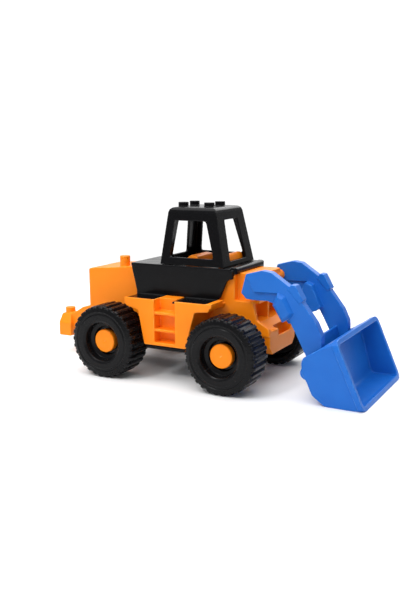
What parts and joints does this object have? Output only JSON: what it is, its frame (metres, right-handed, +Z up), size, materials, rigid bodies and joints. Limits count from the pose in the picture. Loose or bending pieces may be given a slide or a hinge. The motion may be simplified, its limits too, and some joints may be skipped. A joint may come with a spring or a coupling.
{
  "type": "toy front loader",
  "caption": "Moulded plastic toy wheel loader with an open-window cab, lifting boom, tipping bucket, free-rolling lugged wheels and a rear tow hitch.",
  "frame": {"origin": "on the ground, midway between the rear of the tow hitch and the bucket lip, on the centre plane", "axes": "+X forward to the bucket, +Y to the loader's left, +Z up"},
  "size_m": [0.4294, 0.18, 0.201],
  "materials": {
    "orange_plastic": "satin moulded orange plastic",
    "black_plastic": "semi-gloss moulded black plastic",
    "tyre_plastic": "satin moulded black plastic wheel",
    "blue_plastic": "satin moulded blue plastic",
    "steel": "zinc-plated steel"
  },
  "bodies": {
    "body": {"body_shell": "orange_plastic", "tow_hitch": "orange_plastic", "chassis": "black_plastic", "deck_skirt": "black_plastic", "cab": "black_plastic", "seat": "orange_plastic", "dashboard": "orange_plastic", "chassis_screw_1": "steel", "chassis_screw_2": "steel", "chassis_screw_3": "steel", "chassis_screw_4": "steel", "axle_front": "steel", "axle_rear": "steel", "push_nut_front_left": "steel", "push_nut_front_right": "steel", "push_nut_rear_left": "steel", "push_nut_rear_right": "steel", "boom_pin_left": "steel", "boom_pin_right": "steel"},
    "wheel_fl": {"wheel_front_left": "tyre_plastic", "hub_cap_front_left": "orange_plastic"},
    "wheel_fr": {"wheel_front_right": "tyre_plastic", "hub_cap_front_right": "orange_plastic"},
    "wheel_rl": {"wheel_rear_left": "tyre_plastic", "hub_cap_rear_left": "orange_plastic"},
    "wheel_rr": {"wheel_rear_right": "tyre_plastic", "hub_cap_rear_right": "orange_plastic"},
    "boom_arm": {"boom": "blue_plastic"},
    "bucket_scoop": {"bucket": "blue_plastic", "bucket_rod": "steel"}
  },
  "joints": [
    {"name": "wheel_front_left_spin", "type": "hinge", "parent": "body", "child": "wheel_fl", "pos_m": [0.06055, 0.071, 0.0425], "axis": [0, 1, 0], "continuous": true},
    {"name": "wheel_front_right_spin", "type": "hinge", "parent": "body", "child": "wheel_fr", "pos_m": [0.06055, -0.071, 0.0425], "axis": [0, 1, 0], "continuous": true},
    {"name": "wheel_rear_left_spin", "type": "hinge", "parent": "body", "child": "wheel_rl", "pos_m": [-0.09185, 0.071, 0.0425], "axis": [0, 1, 0], "continuous": true},
    {"name": "wheel_rear_right_spin", "type": "hinge", "parent": "body", "child": "wheel_rr", "pos_m": [-0.09185, -0.071, 0.0425], "axis": [0, 1, 0], "continuous": true},
    {"name": "boom_lift", "type": "hinge", "parent": "body", "child": "boom_arm", "pos_m": [0.07615, 0, 0.1156], "axis": [0, -1, 0], "range_deg": [0, 60]},
    {"name": "bucket_tilt", "type": "hinge", "parent": "boom_arm", "child": "bucket_scoop", "pos_m": [0.15185, 0, 0.0323], "axis": [0, 1, 0], "range_deg": [0, 75]}
  ]
}
